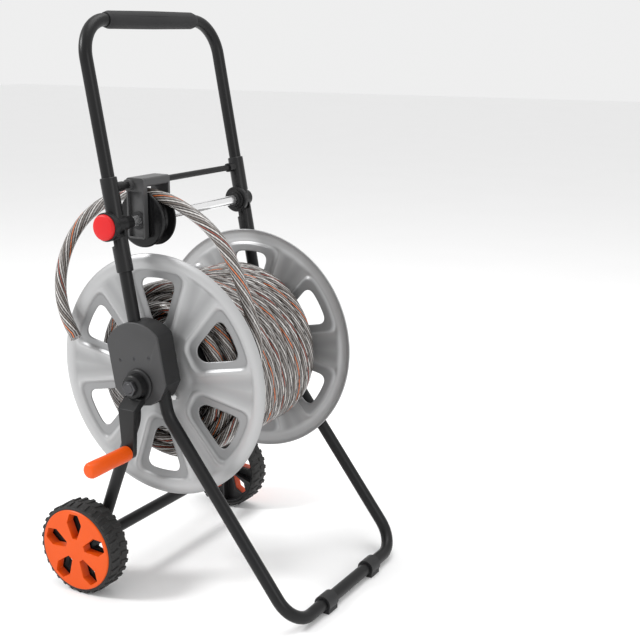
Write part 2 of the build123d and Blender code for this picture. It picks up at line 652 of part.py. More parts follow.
for side, side_name in ((-1, "right"), (1, "left")):
    with BuildPart() as tyre:
        add(turned(wheel_x, wheel_z, [
            (side * (wheel_in + 3), 67.6), (side * wheel_in, 69), (side * wheel_in, 71),
            (side * (wheel_in + 5), wheel_r - 2.5), (side * (wheel_in + 8), wheel_r - 1.8),
            (side * (wheel_out - 10), wheel_r - 1.8), (side * (wheel_out - 6), wheel_r - 2.5),
            (side * (wheel_out - 2), cover_r + 2), (side * (wheel_out - 2), 67.6)]))
        for row_y, turn in ((wheel_in + 12, 0), (wheel_out - 14, 7.5)):
            for i in range(24):
                angle = turn + i * 15
                with BuildSketch(Plane(
                    origin=at(wheel_x + 72 * cos(radians(angle)), side * row_y,
                              wheel_z + 72 * sin(radians(angle))),
                    x_dir=(0, 1, 0), z_dir=(cos(radians(angle)), 0, sin(radians(angle))))):
                    Rectangle(13, 9)
                extrude(amount=wheel_r - 72)
    save(tyre.part, f"tyre_{side_name}")

    with BuildPart() as wheel_rim:
        add(ring(wheel_x, wheel_z, side * (wheel_in + 1), side * 212, axle_r + fit, 14))
        add(ring(wheel_x, wheel_z, side * (wheel_in + 4), side * (wheel_out - 6), 64.6, 67.6))
        with BuildSketch(face_plane(wheel_x, side * 206, wheel_z)):
            Circle(65)
            Circle(10, mode=Mode.SUBTRACT)
            with PolarLocations(0, window_count, start_angle=90):
                add(wheel_window(-1.5), mode=Mode.SUBTRACT)
        extrude(amount=3, both=True)
        for i in range(window_count):
            angle = 126 + 360 / window_count * i
            with BuildSketch(Plane(
                origin=at(wheel_x + 12 * cos(radians(angle)), side * 198,
                          wheel_z + 12 * sin(radians(angle))),
                x_dir=(0, 1, 0), z_dir=(cos(radians(angle)), 0, sin(radians(angle))))):
                Rectangle(18, 3)
            extrude(amount=53)
        add(ring(wheel_x, wheel_z, side * (wheel_in - 5), side * 216, 0, axle_r + fit), mode=Mode.SUBTRACT)
    save(wheel_rim.part, f"wheel_rim_{side_name}")

    with BuildPart() as wheel_cover:
        add(turned(wheel_x, wheel_z, [
            (side * (wheel_out - 5), 0), (side * (wheel_out - 5), cover_r), (side * (wheel_out - 1.5), cover_r),
            (side * wheel_out, cover_r - 1.5), (side * wheel_out, 0)]))
        with BuildSketch(face_plane(wheel_x, side * (wheel_out - 5), wheel_z)):
            with PolarLocations(0, window_count, start_angle=90):
                add(wheel_window(1.8))
        extrude(amount=side * 10.5)
        with BuildSketch(face_plane(wheel_x, side * (wheel_out + 1), wheel_z)):
            with PolarLocations(0, window_count, start_angle=90):
                add(wheel_window())
        extrude(amount=side * 20, mode=Mode.SUBTRACT)
    save(wheel_cover.part, f"wheel_cover_{side_name}")
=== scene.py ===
import json
from math import atan2, cos, exp, hypot, pi, radians, sin, tan

import bmesh
import bpy
from mathutils import Matrix, Vector


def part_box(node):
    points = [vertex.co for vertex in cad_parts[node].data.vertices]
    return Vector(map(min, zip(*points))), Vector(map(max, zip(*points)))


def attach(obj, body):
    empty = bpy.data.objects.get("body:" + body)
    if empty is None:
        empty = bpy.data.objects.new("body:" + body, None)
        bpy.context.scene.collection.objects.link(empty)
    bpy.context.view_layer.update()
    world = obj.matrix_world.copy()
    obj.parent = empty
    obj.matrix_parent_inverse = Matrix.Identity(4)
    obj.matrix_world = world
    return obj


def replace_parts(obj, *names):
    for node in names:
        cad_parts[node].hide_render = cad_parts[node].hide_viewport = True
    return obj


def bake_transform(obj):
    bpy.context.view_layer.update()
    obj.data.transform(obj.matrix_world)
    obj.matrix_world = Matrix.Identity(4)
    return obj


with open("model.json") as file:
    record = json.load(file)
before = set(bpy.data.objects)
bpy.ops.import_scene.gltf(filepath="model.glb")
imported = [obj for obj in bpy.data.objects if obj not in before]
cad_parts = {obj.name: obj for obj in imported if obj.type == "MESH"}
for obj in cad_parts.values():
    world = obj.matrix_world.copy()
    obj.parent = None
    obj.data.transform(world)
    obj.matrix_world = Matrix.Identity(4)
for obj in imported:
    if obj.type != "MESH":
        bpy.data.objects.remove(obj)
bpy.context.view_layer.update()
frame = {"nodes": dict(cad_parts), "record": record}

# ==== Camera and lights ===========================================================================
# A long lens at chest height looks at the cart from the crank side and in front. A soft light stands
# high on the left, a weaker one on the right and one overhead. The floor is z = 0, and the reel's
# axis runs along Y through the middle of the drum.
drum_low, drum_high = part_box("drum")
reel = (drum_low + drum_high) / 2
mm = 0.001


def spot(x, y, z):
    """A point given in millimetres from the middle of the reel axis."""
    return reel + Vector((x, y, z)) * mm


camera_turn, camera_rise = radians(29.94), radians(14.0)
camera_aim, camera_distance = spot(212.55, 0, 88.27), 1.7947
camera_back = Vector((sin(camera_turn) * cos(camera_rise), -cos(camera_turn) * cos(camera_rise),
                      sin(camera_rise)))
camera = bpy.data.objects.new("camera", bpy.data.cameras.new("camera"))
camera.data.lens = 64.75
camera.data.sensor_width = 36
camera.location = camera_aim + camera_back * camera_distance
camera.rotation_euler = camera_back.to_track_quat("Z", "Y").to_euler()
bpy.context.scene.collection.objects.link(camera)
bpy.context.scene.camera = camera


def soft_light(name, place, size, watts):
    """A square studio light that points at the middle of the cart."""
    lamp = bpy.data.objects.new(name, bpy.data.lights.new(name, "AREA"))
    lamp.data.size = size
    lamp.data.energy = watts
    lamp.location = place
    lamp.rotation_euler = (Vector(place) - Vector((0, 0, 0.45))).to_track_quat("Z", "Y").to_euler()
    bpy.context.scene.collection.objects.link(lamp)


soft_light("key_light", (-1.7, -1.5, 2.1), 0.6, 52)
soft_light("side_light", (2.5, -0.9, 1.3), 0.9, 12)
soft_light("top_light", (0.2, 0.5, 2.7), 1.6, 24)

world = bpy.data.worlds.new("studio")
world.use_nodes = True
world.node_tree.nodes["Background"].inputs["Color"].default_value = (1, 1, 1, 1)
world.node_tree.nodes["Background"].inputs["Strength"].default_value = 0.86
bpy.context.scene.world = world
bpy.context.scene.view_settings.view_transform = "Standard"


# ==== Floor =======================================================================================
# A seamless off-white studio floor, rolled out flat. Its finish, like every one after it, is one
# Principled shader: numbers that change over a surface are written as arithmetic on Value, and
# Finish.node adds each other node.
nodes = frame["nodes"]


class Value:
    """A number or colour that changes over a surface: a socket that takes part in arithmetic."""

    def __init__(self, finish, socket):
        self.finish = finish
        self.socket = socket

    def __add__(self, other):
        return self.finish.math("ADD", self, other)

    def __sub__(self, other):
        return self.finish.math("SUBTRACT", self, other)

    def __rsub__(self, other):
        return self.finish.math("SUBTRACT", other, self)

    def __mul__(self, other):
        return self.finish.math("MULTIPLY", self, other)

    def __truediv__(self, other):
        return self.finish.math("DIVIDE", self, other)

    __radd__ = __add__
    __rmul__ = __mul__


class Finish:
    """A material with one Principled shader, built up node by node."""

    def __init__(self, name, **fixed):
        self.material = bpy.data.materials.new(name)
        self.material.use_nodes = True
        self.tree = self.material.node_tree
        self.shader = self.tree.nodes["Principled BSDF"]
        self.set(**fixed)

    def feed(self, socket, value):
        if isinstance(value, Value):
            self.tree.links.new(value.socket, socket)
        else:
            socket.default_value = value

    def set(self, **inputs):
        """Feeds the shader: base_color=..., roughness=... and so on."""
        for name, value in inputs.items():
            socket = self.shader.inputs[name.replace("_", " ").title().replace("Ior", "IOR")]
            if isinstance(value, tuple) and len(value) == 3 and socket.type == "RGBA":
                value = (*value, 1)
            self.feed(socket, value)

    def node(self, kind, settings=None, out=0, **inputs):
        """Adds a node: its settings first, then values or links for its sockets, by name or i0, i1..."""
        made = self.tree.nodes.new(kind)
        for key, value in (settings or {}).items():
            if key == "stops":
                while len(made.color_ramp.elements) < len(value):
                    made.color_ramp.elements.new(0.5)
                for element, (place, colour) in zip(made.color_ramp.elements, value):
                    element.position = place
                    element.color = (*colour, 1)
            else:
                setattr(made, key, value)
        for name, value in inputs.items():
            numbered = name[0] == "i" and name[1:].isdigit()
            self.feed(made.inputs[int(name[1:]) if numbered else name.replace("_", " ").title()], value)
        return Value(self, made.outputs[out])

    def math(self, operation, a, b=0.0):
        return self.node("ShaderNodeMath", {"operation": operation}, i0=a, i1=b)

    def mix(self, factor, a, b):
        """Colour a where factor is 0, colour b where it is 1."""
        a, b = [(*c, 1) if isinstance(c, tuple) else c for c in (a, b)]
        return self.node("ShaderNodeMix", {"data_type": "RGBA"}, out=2, i0=factor, i6=a, i7=b)

    def place(self):
        """The point on the piece, in metres."""
        return self.node("ShaderNodeTexCoord", out=3)

    def noise(self, scale, detail=2.0, roughness=0.5, vector=None):
        where = vector or self.place()
        return self.node("ShaderNodeTexNoise", Vector=where, scale=scale, detail=detail, roughness=roughness)

    def smooth(self, low, high, value):
        """0 below low, 1 above high, and an even ramp between them."""
        return self.node("ShaderNodeMapRange", {"interpolation_type": "SMOOTHSTEP"},
                         Value=value, i1=low, i2=high)

    def bump(self, height, distance, strength=1.0):
        normal = self.node("ShaderNodeBump", Height=height, distance=distance, strength=strength)
        self.set(normal=normal)


def paint(finish, *names):
    """Gives CAD nodes or new pieces this finish all over."""
    for name in names:
        piece = nodes[name] if isinstance(name, str) else name
        piece.data.materials.clear()
        piece.data.materials.append(finish.material)


floor_finish = Finish("studio_floor", roughness=0.9)
floor_finish.set(base_color=floor_finish.mix(floor_finish.noise(3.0), (0.93, 0.93, 0.93), (0.95, 0.95, 0.95)))
floor_mesh = bmesh.new()
bmesh.ops.create_grid(floor_mesh, x_segments=2, y_segments=2, size=14)
floor_data = bpy.data.meshes.new("floor")
floor_mesh.to_mesh(floor_data)
floor_mesh.free()
floor = bpy.data.objects.new("floor", floor_data)
bpy.context.scene.collection.objects.link(floor)
paint(floor_finish, floor)


# ==== Bent tube stand =============================================================================
# Steel tube of 20 mm, bent cold and welded, then powder coated satin black: front frame, rear legs,
# cross tube, short uprights, handle and cross bar.
powder_coat = Finish("black_powder_coat", specular_ior_level=0.24)
rub = powder_coat.noise(16.0, 5.0, 0.6)
powder_coat.set(
    base_color=powder_coat.mix(rub, (0.0045, 0.0045, 0.0048), (0.011, 0.011, 0.0115)),
    roughness=0.30 + rub * 0.14,
)
powder_coat.bump(powder_coat.noise(1100.0, 2.0), 0.00005, 0.6)
paint(powder_coat, "front_frame", "rear_leg_right", "rear_leg_left", "rear_cross_tube", "upright_right",
      "upright_left", "handle_tube", "cross_bar")


# ==== Feet and tube plugs =========================================================================
# Black polypropylene clips pushed over the floor bar, and plugs in the ends of the cross tube. Like
# every moulded or cast piece, they have slightly rounded edges.
body_of = {}
for body, group in frame["record"]["behaviour"]["bodies"].items():
    for node in group:
        body_of[node] = body


def softened(finish, width, *names, corner=32):
    """A copy of each moulded or cast CAD piece with its sharp edges rounded over."""
    for name in names:
        form = bmesh.new()
        form.from_mesh(nodes[name].data)
        bmesh.ops.remove_doubles(form, verts=form.verts, dist=0.02 * mm)
        bmesh.ops.dissolve_limit(form, angle_limit=radians(1.2), verts=form.verts, edges=form.edges)
        for face in form.faces:
            face.smooth = True
        mesh = bpy.data.meshes.new(name + "_eased")
        form.to_mesh(mesh)
        form.free()
        mesh.set_sharp_from_angle(angle=radians(corner))
        piece = bpy.data.objects.new(name + "_eased", mesh)
        bpy.context.scene.collection.objects.link(piece)
        rounding = piece.modifiers.new("eased_edges", "BEVEL")
        rounding.width = width
        rounding.segments = 2
        rounding.limit_method = "ANGLE"
        rounding.angle_limit = radians(corner)
        rounding.harden_normals = True
        paint(finish, piece)
        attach(piece, body_of[name])
        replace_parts(piece, name)


black_plastic = Finish("black_moulded_plastic", specular_ior_level=0.3)
sheen = black_plastic.noise(30.0, 4.0, 0.55)
black_plastic.set(
    base_color=black_plastic.mix(sheen, (0.0105, 0.0105, 0.011), (0.022, 0.022, 0.023)),
    roughness=0.36 + sheen * 0.16,
)
black_plastic.bump(black_plastic.noise(1500.0, 3.0, 0.6), 0.00004, 0.7)
softened(black_plastic, 0.0008, "foot_right", "foot_left", "tube_plug_right", "tube_plug_left")


# ==== Wheels ======================================================================================
# Solid rubber tyre with two rows of cross lugs, pressed on a black spoked rim. An orange cover with
# five windows clips on from outside. The wheels turn on a zinc-plated axle with a washer each side.
axle_low, axle_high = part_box("axle_rod")
axle = (axle_low + axle_high) / 2
tyre_low, tyre_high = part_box("tyre_right")
tyre_radius = (tyre_high.z - tyre_low.z) / 2
tyre_inside, tyre_outside = axle.y - tyre_high.y, axle.y - tyre_low.y
tyre_rubber = Finish("tyre_rubber", specular_ior_level=0.3)
dust = tyre_rubber.noise(45.0, 5.0, 0.6)
tyre_rubber.set(
    base_color=tyre_rubber.mix(dust, (0.013, 0.013, 0.013), (0.034, 0.033, 0.032)),
    roughness=0.55 + dust * 0.2,
)
tyre_rubber.bump(tyre_rubber.noise(900.0, 3.0), 0.00008, 0.8)


def tyre(side, name):
    """One tyre: a spun casing with 60 lugs moulded on it."""
    form = bmesh.new()
    casing_width, casing_depth = 0.0458, 0.0083
    casing = [(0.002, -0.0082), (0.0, -0.0066), (0.0012, -0.0046), (0.0055, -0.0030), (0.012, -0.0026),
              (0.023, -0.0024), (0.034, -0.0026), (0.0405, -0.0030), (0.0448, -0.0046), (0.0458, -0.0062)]
    width = tyre_outside - tyre_inside
    outline = [form.verts.new((tyre_radius + depth, across * width / casing_width, 0))
               for across, depth in casing]
    inner = [form.verts.new((tyre_radius - casing_depth, across, 0)) for across in (width, 0)]
    loop = outline + inner
    edges = [form.edges.new((a, b)) for a, b in zip(loop, loop[1:] + loop[:1])]
    bmesh.ops.spin(form, geom=loop + edges, cent=(0, 0, 0), axis=(0, 1, 0), dvec=(0, 0, 0), angle=2 * pi,
                   steps=120, use_merge=True)
    bmesh.ops.remove_doubles(form, verts=form.verts, dist=0.00001)
    bmesh.ops.recalc_face_normals(form, faces=form.faces)
    lugs_a_row, lug_long, lug_wide, lug_high, lug_sunk = 30, 0.41 * width, 0.0070, 0.0046, 0.0030
    for row, (across, slant) in enumerate(((0.25 * width, 0.20), (0.75 * width, -0.20))):
        for i in range(lugs_a_row):
            lug = bmesh.new()
            bmesh.ops.create_cube(lug, size=1)
            bmesh.ops.scale(lug, vec=(lug_high, lug_long, lug_wide), verts=lug.verts)
            bmesh.ops.bevel(lug, geom=lug.edges, offset=0.8 * mm, segments=1, profile=0.5, affect="EDGES",
                            material=-1)
            bmesh.ops.rotate(lug, cent=(0, 0, 0), matrix=Matrix.Rotation(slant, 3, "X"), verts=lug.verts)
            bmesh.ops.translate(lug, vec=(tyre_radius - lug_sunk, across, 0), verts=lug.verts)
            turn = Matrix.Rotation(2 * pi / lugs_a_row * (i + row / 2), 3, "Y")
            bmesh.ops.rotate(lug, cent=(0, 0, 0), matrix=turn, verts=lug.verts)
            moulded = bpy.data.meshes.new("lug")
            lug.to_mesh(moulded)
            lug.free()
            form.from_mesh(moulded)
    for vert in form.verts:
        vert.co.y = axle.y + side * (tyre_inside + vert.co.y)
        vert.co.x += axle.x
        vert.co.z += axle.z
    if side < 0:
        bmesh.ops.reverse_faces(form, faces=form.faces)
    for face in form.faces:
        face.smooth = True
    mesh = bpy.data.meshes.new(name)
    form.to_mesh(mesh)
    form.free()
    mesh.set_sharp_from_angle(angle=radians(38))
    piece = bpy.data.objects.new(name, mesh)
    bpy.context.scene.collection.objects.link(piece)
    paint(tyre_rubber, piece)
    return piece


right_tyre = tyre(-1, "lugged_tyre_right")
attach(right_tyre, "wheel_right")
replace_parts(right_tyre, "tyre_right")
left_tyre = tyre(1, "lugged_tyre_left")
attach(left_tyre, "wheel_left")
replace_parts(left_tyre, "tyre_left")

orange_plastic = Finish("orange_moulded_plastic", specular_ior_level=0.25)
handling = orange_plastic.noise(22.0, 4.0, 0.55)
orange_plastic.set(
    base_color=orange_plastic.mix(handling, (0.70, 0.086, 0.003), (0.62, 0.070, 0.002)),
    roughness=0.33 + handling * 0.16,
)
orange_plastic.bump(orange_plastic.noise(1300.0, 3.0), 0.00004, 0.7)
softened(orange_plastic, 0.0008, "wheel_cover_right", "wheel_cover_left")
softened(black_plastic, 0.0006, "wheel_rim_right", "wheel_rim_left")

zinc = Finish("bright_zinc_plate", metallic=1.0)
spangle = zinc.noise(120.0, 4.0, 0.6)
zinc.set(base_color=zinc.mix(spangle, (0.60, 0.60, 0.61), (0.72, 0.72, 0.71)), roughness=0.24 + spangle * 0.2)
zinc.bump(zinc.noise(700.0, 2.0), 0.00003, 0.5)
paint(zinc, "axle_rod", "axle_washer_right", "axle_washer_left", "tie_bolts", "inlet_shaft",
      "crank_pin")
softened(zinc, 0.0003, "hinge_pin_right", "hinge_pin_left")


# ==== Hub housings ================================================================================
# Two-part plastic housings clamp the front frame, the rear legs and the uprights, and hold the
# reel's bushes. The front half is held by three blackened screws and has a finely grained face.
housing_plastic = Finish("grained_grey_plastic", specular_ior_level=0.36)
grain = housing_plastic.noise(1700.0, 3.0, 0.6)
cloud = housing_plastic.noise(18.0, 4.0)
housing_plastic.set(
    base_color=housing_plastic.mix(cloud, (0.036, 0.036, 0.037), (0.050, 0.050, 0.051)),
    roughness=0.42 + cloud * 0.12,
)
housing_plastic.bump(grain, 0.00007, 0.9)
softened(housing_plastic, 0.0013, "housing_cover_right", "housing_cover_left")
housing_shell = Finish("grained_dark_plastic", specular_ior_level=0.28)
shell_cloud = housing_shell.noise(20.0, 4.0)
housing_shell.set(
    base_color=housing_shell.mix(shell_cloud, (0.014, 0.014, 0.0145), (0.022, 0.022, 0.0225)),
    roughness=0.44 + shell_cloud * 0.1,
)
housing_shell.bump(housing_shell.noise(1700.0, 3.0, 0.6), 0.00006, 0.9)
softened(housing_shell, 0.0009, "housing_body_right", "housing_body_left")
softened(black_plastic, 0.0005, "hub_bush_right", "hub_bush_left", "hub_ring_right")
dark_steel = Finish("blackened_steel", metallic=0.85)
oil = dark_steel.noise(90.0, 4.0)
dark_steel.set(base_color=dark_steel.mix(oil, (0.05, 0.05, 0.052), (0.09, 0.09, 0.095)),
               roughness=0.3 + oil * 0.2)
dark_steel.bump(dark_steel.noise(800.0, 2.0), 0.00003, 0.5)
softened(dark_steel, 0.0003, "cover_screws_right", "cover_screws_left")


# ==== Reel flanges ================================================================================
# Each flange is one pressed sheet of steel, lacquered satin silver: six wedge openings, each in a
# sunk pocket edged by a raised bead, dished spokes between them, and a bowed rim with a rolled lip.
# The silver is painted darker in the hollows and low parts of the relief, as painted shade.
sheet_inside = reel.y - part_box("flange_right")[1].y
opening_count, opening_first = 6, radians(30)
opening_near, opening_far = 83, 157           # how far each opening reaches from the axis, in mm
narrow_half, wide_half = 11.0, 36.5           # its half widths at those two ends, in mm
side_corner, rim_corner = 15, 17              # the rounding of its corners, in mm


def rounded_max(a, b, blend):
    """The larger of two distances, with the corner between them rounded."""
    near = max(blend - abs(a - b), 0) / blend
    return max(a, b) + near * near * blend / 4


def opening_distance(radius, angle):
    """Distance outside the nearest wedge opening, in millimetres, less than 0 inside it."""
    turn = (angle - opening_first + pi / opening_count) % (2 * pi / opening_count) - pi / opening_count
    along, across = radius * cos(turn), abs(radius * sin(turn))
    flare = atan2(wide_half - narrow_half, opening_far - opening_near)
    sides = (across - narrow_half - (along - opening_near) * tan(flare)) * cos(flare)
    ends = rounded_max(sides, opening_near - along, side_corner)
    return rounded_max(ends, radius - opening_far, rim_corner)


def ease(low, high, value):
    """0 below low, 1 above high, and a smooth rise between them."""
    part = min(max((value - low) / (high - low), 0), 1)
    return part * part * (3 - 2 * part)


top_height = 5.1  # millimetres


def sheet_height(radius, gap):
    """How far the pressed sheet stands out from its inner face, in millimetres."""
    hub = 1 - ease(50, 66, radius)
    rim = ease(168, 178, radius)
    pocket = 1 - ease(11, 15.5, gap)
    bead = exp(-((gap - 17.5) / 2.7) ** 2) * (1 - rim) * (1 - hub)
    spoke = 3.1 - 1.5 * ease(4, 20, gap - 15) + 1.5 * ease(34, 60, gap)
    web = spoke * (1 - pocket) + 0.45 * pocket + 1.7 * bead
    lip = 0.3 * exp(-((gap) / 1.6) ** 2)
    bowed = 3.1 + 1.9 * sin(pi * min(max((radius - 172) / 21, 0), 1))
    level = web * (1 - rim) + bowed * rim + lip
    return min(level * (1 - hub) + 3.4 * hub, top_height)


flange_paint = Finish("silver_lacquer", metallic=0.4, specular_ior_level=0.4)
mottle = flange_paint.noise(26.0, 5.0, 0.6)
flake = flange_paint.noise(2600.0, 2.0)
press = flange_paint.node("ShaderNodeAttribute", {"attribute_name": "press"}, out=2)
# Painted shade: this mask (thickness) follows the stored relief height and darkens the silver in the hollows
# as painted shade, with a little random mottle mixed in.
thickness = flange_paint.smooth(0.05, 0.85, press)
flange_paint.set(
    base_color=flange_paint.mix(thickness * 0.9 + mottle * 0.1, (0.25, 0.252, 0.255), (0.42, 0.422, 0.425)),
    roughness=0.34 + mottle * 0.12,
)
flange_paint.bump(flake, 0.00003, 0.5)

ring_radii = [14.4, 22, 32, 42] + [48 + 2 * i for i in range(9)] + [66 + 1.85 * i for i in range(67)]
lip_rings = [(191.6, 2.6), (193.2, 1.5), (194.1, 0.9)]


def pressed_flange(side, name):
    """One flange sheet on a polar grid, with the openings trimmed out of it."""
    form = bmesh.new()
    pressed = form.verts.layers.float.new("press")
    start = [form.verts.new((radius, 0, 0)) for radius in ring_radii + [radius for radius, _ in lip_rings]]
    edges = [form.edges.new((a, b)) for a, b in zip(start, start[1:])]
    bmesh.ops.spin(form, geom=start + edges, cent=(0, 0, 0), axis=(0, -1, 0), dvec=(0, 0, 0), angle=2 * pi,
                   steps=360, use_merge=True)
    bmesh.ops.remove_doubles(form, verts=form.verts, dist=0.001)
    gaps = {}
    for vert in form.verts:
        gaps[vert] = opening_distance(hypot(vert.co.x, vert.co.z), atan2(vert.co.z, vert.co.x))
    trimmed = [face for face in form.faces if sum(gaps[vert] for vert in face.verts) < 0]
    bmesh.ops.delete(form, geom=trimmed, context="FACES")
    # The stepped edge that the cut leaves is drawn onto the opening's true outline.
    for vert in form.verts:
        if vert.is_boundary and abs(gaps[vert]) < 8:
            for _ in range(3):
                radius, angle = hypot(vert.co.x, vert.co.z), atan2(vert.co.z, vert.co.x)
                gap = opening_distance(radius, angle)
                slope_r = opening_distance(radius + 0.1, angle) - gap
                slope_a = opening_distance(radius, angle + 0.1 / radius) - gap
                size = (slope_r ** 2 + slope_a ** 2) / 0.01
                outwards = (slope_r / 0.1 * gap / max(size, 0.2), slope_a / 0.1 * gap / max(size, 0.2))
                vert.co.x -= outwards[0] * cos(angle) - outwards[1] * sin(angle)
                vert.co.z -= outwards[0] * sin(angle) + outwards[1] * cos(angle)
    for vert in form.verts:
        radius = hypot(vert.co.x, vert.co.z)
        gap = opening_distance(radius, atan2(vert.co.z, vert.co.x))
        out = sheet_height(radius, gap)
        # The relief height is kept on each vertex for the painted shade in the silver lacquer.
        vert[pressed] = out / top_height
        if radius > 190.5:
            out = min(lip_rings, key=lambda ring: abs(ring[0] - radius))[1]
        vert.co = Vector((reel.x + vert.co.x * mm, reel.y + side * (sheet_inside + (out + 0.9) * mm),
                          reel.z + vert.co.z * mm))
    bmesh.ops.recalc_face_normals(form, faces=form.faces)
    if sum(face.normal.y * face.calc_area() for face in form.faces) * side < 0:
        bmesh.ops.reverse_faces(form, faces=form.faces)
    for face in form.faces:
        face.smooth = True
    mesh = bpy.data.meshes.new(name)
    form.to_mesh(mesh)
    form.free()
    piece = bpy.data.objects.new(name, mesh)
    bpy.context.scene.collection.objects.link(piece)
    sheet = piece.modifiers.new("sheet_thickness", "SOLIDIFY")
    sheet.thickness = 0.0017
    sheet.offset = 0
    paint(flange_paint, piece)
    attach(piece, "reel")
    return piece


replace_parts(pressed_flange(-1, "pressed_flange_right"), "flange_right")
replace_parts(pressed_flange(1, "pressed_flange_left"), "flange_left")
paint(black_plastic, "drum", "outlet_elbow")


# ==== Hose ========================================================================================
# Half-inch hose of clear PVC over twisted bands of white, grey, black and orange, with a fine knit
# in its wall. Four layers are wound on the drum, starting at its outlet by the crank-side flange.
hose_radius = 0.0095
hose_twist = 0.18


def hose_line(name, points, steps):
    """A smooth NURBS line through the route, and the points that it passes."""
    line = bpy.data.curves.new(name, "CURVE")
    line.dimensions = "3D"
    line.resolution_u = steps
    spline = line.splines.new("NURBS")
    spline.points.add(len(points) - 1)
    for place, point in zip(spline.points, points):
        place.co = (*point, 1)
    spline.order_u = 3
    spline.use_endpoint_u = True
    holder = bpy.data.objects.new(name, line)
    bpy.context.scene.collection.objects.link(holder)
    path_mesh = bpy.data.meshes.new_from_object(holder)
    path = [vert.co.copy() for vert in path_mesh.vertices]
    return holder, line, path


def hose_tube(name, points, steps, around):
    """The hose as a mesh tube along its line, with a UV map of metres along and turns around."""
    holder, line, path = hose_line(name + "_line", points, steps)
    line.bevel_depth = hose_radius
    line.bevel_resolution = around
    line.use_fill_caps = True
    line.twist_mode = "MINIMUM"
    mesh = bpy.data.meshes.new_from_object(holder)
    mesh.name = name
    bpy.data.objects.remove(holder)
    ring = len(mesh.vertices) // len(path)
    run = [0.0]
    for before, after in zip(path, path[1:]):
        run.append(run[-1] + (after - before).length)
    while mesh.uv_layers:
        mesh.uv_layers.remove(mesh.uv_layers[0])
    lay = mesh.uv_layers.new(name="lay")
    for face in mesh.polygons:
        face.use_smooth = True
        spots = [(mesh.loops[i].vertex_index % ring, mesh.loops[i].vertex_index // ring)
                 for i in face.loop_indices]
        wraps = max(k for k, _ in spots) - min(k for k, _ in spots) > ring / 2
        for i, (k, along) in zip(face.loop_indices, spots):
            turn = (k + ring if wraps and k < ring / 2 else k) / ring
            lay.data[i].uv = (run[min(along, len(run) - 1)], turn)
    mesh.materials.clear()
    piece = bpy.data.objects.new(name, mesh)
    bpy.context.scene.collection.objects.link(piece)
    return piece, path, run[-1]


hose = Finish("banded_clear_hose", coat_weight=0.55, coat_roughness=0.1, specular_ior_level=0.5)
lay = hose.node("ShaderNodeUVMap", {"uv_map": "lay"})
along = hose.node("ShaderNodeSeparateXYZ", Vector=lay, out=0)
around = hose.node("ShaderNodeSeparateXYZ", Vector=lay, out=1)
band = hose.math("FRACT", around + along / hose_twist + 40.0)
black, dark, grey = (0.008,) * 3, (0.035, 0.029, 0.025), (0.15, 0.125, 0.108)
pale, white = (0.34, 0.322, 0.31), (0.66, 0.64, 0.62)
orange, rust = (0.80, 0.19, 0.04), (0.36, 0.05, 0.02)
bands = hose.node("ShaderNodeValToRGB", {"stops": [
    (0.0, white), (0.034, black), (0.066, grey), (0.098, black), (0.128, pale), (0.166, dark),
    (0.20, white), (0.236, black), (0.27, pale), (0.302, black), (0.336, grey), (0.372, black),
    (0.40, white), (0.436, dark), (0.47, pale), (0.504, black), (0.536, orange), (0.566, black),
    (0.59, pale), (0.63, black), (0.662, white), (0.70, black), (0.735, grey), (0.77, black),
    (0.80, pale), (0.836, dark), (0.87, white), (0.904, black), (0.936, rust), (0.96, black),
]}, fac=band)
bands.socket.node.color_ramp.interpolation = "CONSTANT"
knit = (hose.math("SINE", along * (2 * pi / 0.0046) + around * (2 * pi * 11))
        * hose.math("SINE", along * (2 * pi / 0.0046) - around * (2 * pi * 11)))
stitch = hose.smooth(0.15, 0.55, knit)
shade = hose.noise(8.0, 3.0, vector=lay)
body_colour = hose.mix(stitch * 0.6, bands, (0.03, 0.027, 0.025))
hose.set(base_color=hose.mix(shade * 0.3, body_colour, (0.13, 0.105, 0.09)), roughness=0.24 + stitch * 0.25)
hose.bump(hose.math("SINE", band * (2 * pi * 15)) * 0.5 + knit * 0.4, 0.00022, 0.8)

# Each stage of the winding is (first turn, last turn, first radius, last radius, first y, last y), in
# millimetres: across the drum, then up to the next layer at its side.
layer_radii = [79.5, 98.0, 116.5, 135.0]
layer_turns = [10.15, 10.6, 10.6, 10.59]
layer_side, outlet_side = 107.2, -98.0
climb_turns = 0.35
lift_turns, lift_height, lift_aside = 0.1, 20.3, 2.0
stages = []
turned = 0.0
for i, (radius, turns) in enumerate(zip(layer_radii, layer_turns)):
    way = 1 if i % 2 == 0 else -1
    from_y = outlet_side if i == 0 else -way * layer_side
    stages.append((turned, turned + turns, radius, radius, from_y, way * layer_side))
    turned += turns
    if i < 3:
        stages.append((turned, turned + climb_turns, radius, layer_radii[i + 1],
                       way * layer_side, way * layer_side))
        turned += climb_turns
wound_points = []
place_turned = 0.0
while place_turned < turned - 0.02:
    for begin, end, from_r, to_r, from_y, to_y in stages:
        if begin <= place_turned <= end:
            part = (place_turned - begin) / (end - begin)
            radius = from_r + (to_r - from_r) * ease(0, 1, part)
            side = from_y + (to_y - from_y) * part
            points_a_turn = round(12 + (radius - layer_radii[0]) / 8)
    lift = turned - place_turned
    if lift < lift_turns:
        radius += lift_height * (1 - lift / lift_turns) ** 1.5
        side += lift_aside * (1 - lift / lift_turns)
    loose = 0.45 * sin(place_turned * 9.1) + 0.35 * sin(place_turned * 23.7 + 1)
    swing = 2 * pi * place_turned
    reach = (radius + loose) / cos(pi / points_a_turn)
    wound_points.append(spot(reach * cos(swing), side + 0.3 * sin(place_turned * 14.3), reach * sin(swing)))
    place_turned += 1 / points_a_turn
wound_points.append(spot(155.0, -105.0, -10.0))
wound_hose, wound_path, wound_length = hose_tube("wound_hose", wound_points, 3, 1)
paint(hose, wound_hose)
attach(wound_hose, "reel")
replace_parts(wound_hose, "hose_pack")
